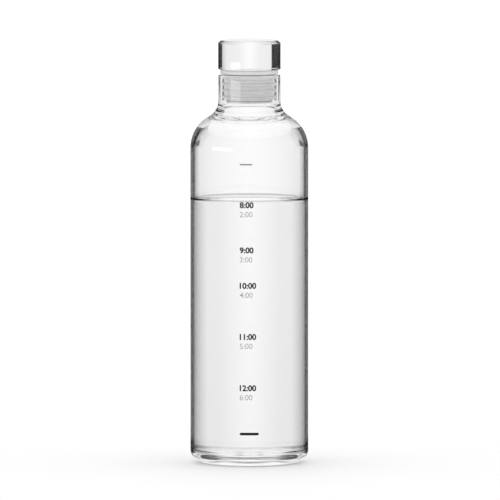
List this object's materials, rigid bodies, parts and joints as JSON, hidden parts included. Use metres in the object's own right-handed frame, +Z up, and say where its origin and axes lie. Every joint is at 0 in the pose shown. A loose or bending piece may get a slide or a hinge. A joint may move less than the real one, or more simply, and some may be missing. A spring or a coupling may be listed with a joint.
{
  "type": "glass water bottle",
  "caption": "Straight-sided clear glass drinking bottle with a rounded shoulder, a short neck and a push-in stopper under a clear block.",
  "frame": {"origin": "on the bottle's axis, in the plane it stands on", "axes": "+Z up along the bottle's axis, -Y towards the printed scale, +X to the right of a person facing the scale"},
  "size_m": [0.072, 0.072, 0.2586],
  "materials": {
    "glass": "clear, polished",
    "clear_block": "clear, polished",
    "frosted_polymer": "translucent, satin",
    "silicone": "translucent, satin"
  },
  "bodies": {
    "bottle": {"glass_bottle": "glass"},
    "washer": {"rim_washer": "silicone"},
    "lid": {"lid_block": "clear_block", "stopper_core": "frosted_polymer", "seal_sleeve": "silicone"}
  },
  "joints": [
    {"name": "lid_lift", "type": "slide", "parent": "bottle", "child": "washer", "axis": [0, 0, 1], "range_m": [0, 0.06]},
    {"name": "lid_turn", "type": "hinge", "parent": "washer", "child": "lid", "pos_m": [0, 0, 0.2376], "axis": [0, 0, 1], "continuous": true}
  ]
}
